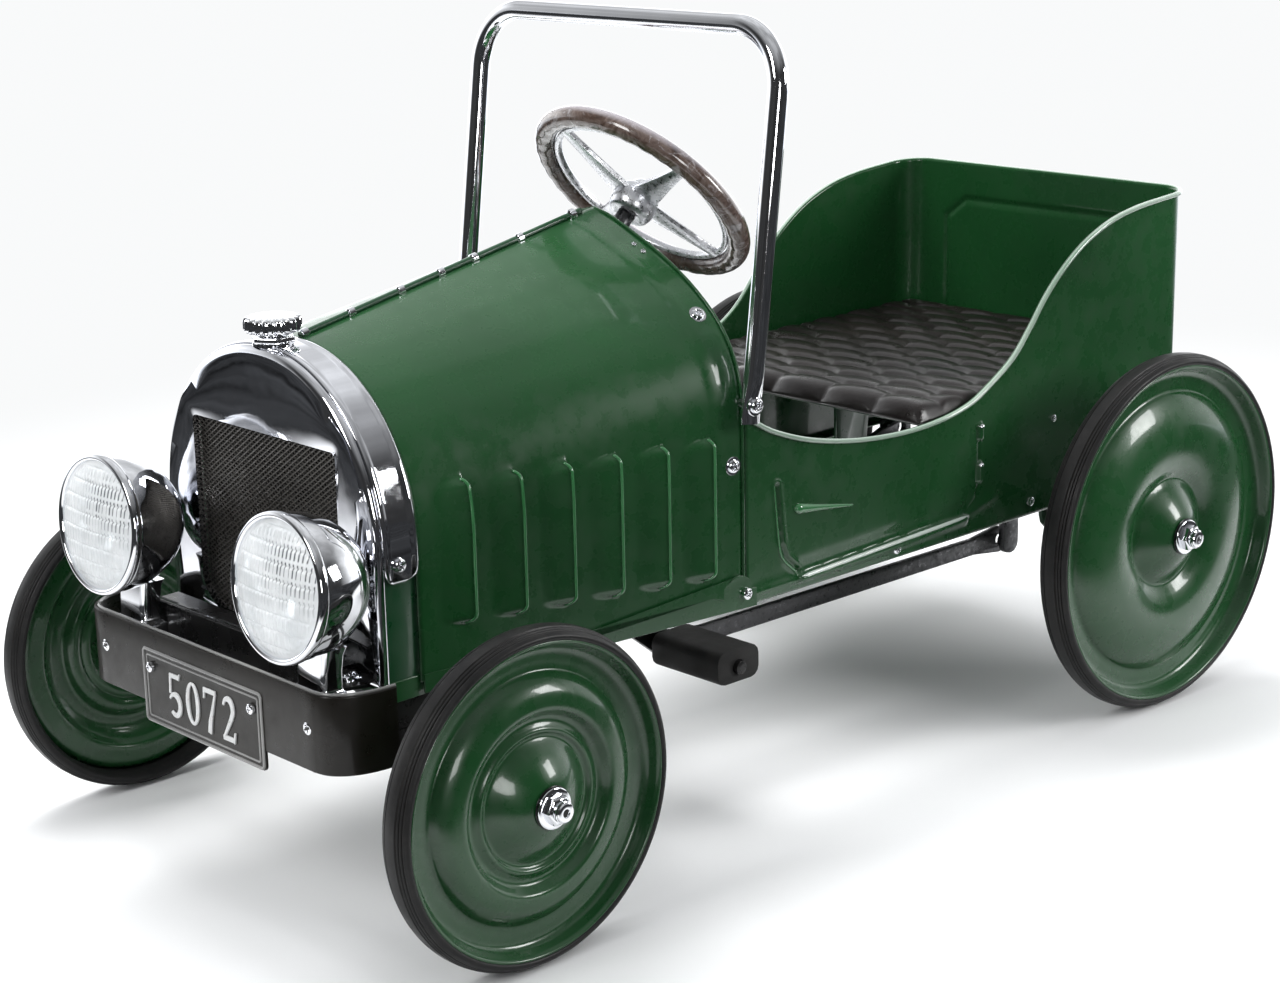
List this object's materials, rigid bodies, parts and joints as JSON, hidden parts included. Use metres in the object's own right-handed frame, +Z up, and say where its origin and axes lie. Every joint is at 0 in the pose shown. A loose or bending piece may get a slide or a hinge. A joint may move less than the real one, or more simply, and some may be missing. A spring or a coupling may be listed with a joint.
{
  "type": "pedal car",
  "caption": "Child's ride-on pedal car with stamped roadster body, louvred hood, chrome radiator and lamps, rod-and-crank pedal drive and working steering.",
  "frame": {"origin": "on the ground, in the middle of the overall length and width", "axes": "+X forward, along the car; +Y to the car's left; +Z up"},
  "size_m": [0.832, 0.4636, 0.5117],
  "materials": {
    "green_enamel": "glossy dark green baked enamel on stamped sheet steel, bright highlights on the rolled edges",
    "chrome": "bright chrome plate",
    "black_enamel": "semi-gloss black enamel",
    "tyre_rubber": "solid black rubber with shoulder ribs",
    "pedal_rubber": "black moulded rubber",
    "black_vinyl": "glossy black-brown vinyl, quilted in staggered rolls",
    "grille_steel": "dark expanded metal",
    "zinc_steel": "zinc-plated bar, lightly dulled",
    "cast_alloy": "satin silver casting",
    "marbled_rim": "glossy marbled brown and grey plastic",
    "nylon": "off-white nylon",
    "lamp_glass": "clear ribbed glass"
  },
  "bodies": {
    "car_body": {"axle_bush_L": "nylon", "axle_bush_R": "nylon", "axle_hanger_L": "green_enamel", "axle_hanger_R": "green_enamel", "body_tub": "green_enamel", "bumper": "black_enamel", "column_bracket": "black_enamel", "dash_panel": "green_enamel", "front_axle_beam": "black_enamel", "front_frame": "black_enamel", "grille_mesh": "grille_steel", "headlamp_bezel_L": "chrome", "headlamp_bezel_R": "chrome", "headlamp_lens_L": "lamp_glass", "headlamp_lens_R": "lamp_glass", "headlamp_shell_L": "chrome", "headlamp_shell_R": "chrome", "hood": "green_enamel", "hood_hinge_moulding": "green_enamel", "kingpin_L": "zinc_steel", "kingpin_R": "zinc_steel", "lamp_stalk_L": "chrome", "lamp_stalk_R": "chrome", "number_plate": "black_enamel", "pedal_pivot_rod": "zinc_steel", "radiator_cap": "chrome", "radiator_core": "green_enamel", "radiator_shell": "chrome", "seat_cushion": "black_vinyl", "seat_pan": "black_enamel", "windshield_bolt_L": "chrome", "windshield_bolt_R": "chrome", "windshield_frame": "chrome"},
    "steering": {"steering_shaft": "zinc_steel", "steering_wheel_rim": "marbled_rim", "steering_wheel_spider": "cast_alloy", "steering_wheel_nut": "chrome"},
    "knuckle_left": {"steering_knuckle_L": "black_enamel", "front_nut_L": "chrome"},
    "knuckle_right": {"steering_knuckle_R": "black_enamel", "front_nut_R": "chrome"},
    "track_rod": {"tie_rod": "zinc_steel"},
    "front_left_wheel": {"front_tyre_L": "tyre_rubber", "front_wheel_L": "green_enamel"},
    "front_right_wheel": {"front_tyre_R": "tyre_rubber", "front_wheel_R": "green_enamel"},
    "axle_assembly": {"rear_axle": "zinc_steel", "rear_nut_L": "chrome", "rear_nut_R": "chrome", "rear_tyre_R": "tyre_rubber", "rear_wheel_R": "green_enamel"},
    "rear_left_wheel": {"rear_tyre_L": "tyre_rubber", "rear_wheel_L": "green_enamel"},
    "pedal_left": {"pedal_arm_L": "black_enamel", "pedal_pad_L": "pedal_rubber"},
    "pedal_right": {"pedal_arm_R": "black_enamel", "pedal_pad_R": "pedal_rubber"},
    "rod_left": {"drive_rod_L": "zinc_steel"},
    "rod_right": {"drive_rod_R": "zinc_steel"}
  },
  "joints": [
    {"name": "steering_turn", "type": "hinge", "parent": "car_body", "child": "steering", "pos_m": [0.0278, 0, 0.39], "axis": [-0.7361, 0, 0.6769], "range_deg": [-21, 21]},
    {"name": "kingpin_left", "type": "hinge", "parent": "car_body", "child": "knuckle_left", "pos_m": [0.3145, 0.17, 0.1015], "axis": [0, 0, 1], "range_deg": [-24.5, 24.5]},
    {"name": "kingpin_right", "type": "hinge", "parent": "car_body", "child": "knuckle_right", "pos_m": [0.3145, -0.17, 0.1015], "axis": [0, 0, 1], "range_deg": [-24.5, 24.5]},
    {"name": "track_rod_end", "type": "hinge", "parent": "knuckle_left", "child": "track_rod", "pos_m": [0.2695, 0.17, 0.0795], "axis": [0, 0, 1], "range_deg": [-24.5, 24.5]},
    {"name": "front_left_spin", "type": "hinge", "parent": "knuckle_left", "child": "front_left_wheel", "pos_m": [0.3145, 0.2116, 0.1015], "axis": [0, 1, 0], "continuous": true},
    {"name": "front_right_spin", "type": "hinge", "parent": "knuckle_right", "child": "front_right_wheel", "pos_m": [0.3145, -0.2116, 0.1015], "axis": [0, 1, 0], "continuous": true},
    {"name": "rear_axle_spin", "type": "hinge", "parent": "car_body", "child": "axle_assembly", "pos_m": [-0.2885, 0, 0.1275], "axis": [0, 1, 0], "continuous": true},
    {"name": "rear_left_spin", "type": "hinge", "parent": "car_body", "child": "rear_left_wheel", "pos_m": [-0.2885, 0.2047, 0.1275], "axis": [0, 1, 0], "continuous": true},
    {"name": "pedal_left_swing", "type": "hinge", "parent": "car_body", "child": "pedal_left", "pos_m": [0.1165, 0, 0.27], "axis": [0, 1, 0], "range_deg": [-11.3, 11.3]},
    {"name": "pedal_right_swing", "type": "hinge", "parent": "car_body", "child": "pedal_right", "pos_m": [0.1165, 0, 0.27], "axis": [0, 1, 0], "range_deg": [-11.5, 11.5]},
    {"name": "rod_left_pin", "type": "hinge", "parent": "pedal_left", "child": "rod_left", "pos_m": [0.0565, 0.0485, 0.0935], "axis": [0, 1, 0], "range_deg": [-11.5, 11.5]},
    {"name": "rod_right_pin", "type": "hinge", "parent": "pedal_right", "child": "rod_right", "pos_m": [0.05, -0.0485, 0.09584], "axis": [0, 1, 0], "range_deg": [-11.5, 11.5]}
  ],
  "couplings": [
    {"joint": "kingpin_left", "follows": "steering_turn", "ratio": 1.1405},
    {"joint": "kingpin_right", "follows": "steering_turn", "ratio": 1.1405},
    {"joint": "track_rod_end", "follows": "steering_turn", "ratio": -1.1405},
    {"joint": "pedal_right_swing", "follows": "pedal_left_swing", "ratio": -1},
    {"joint": "rod_left_pin", "follows": "pedal_left_swing", "ratio": -1},
    {"joint": "rod_right_pin", "follows": "pedal_left_swing", "ratio": 1}
  ]
}
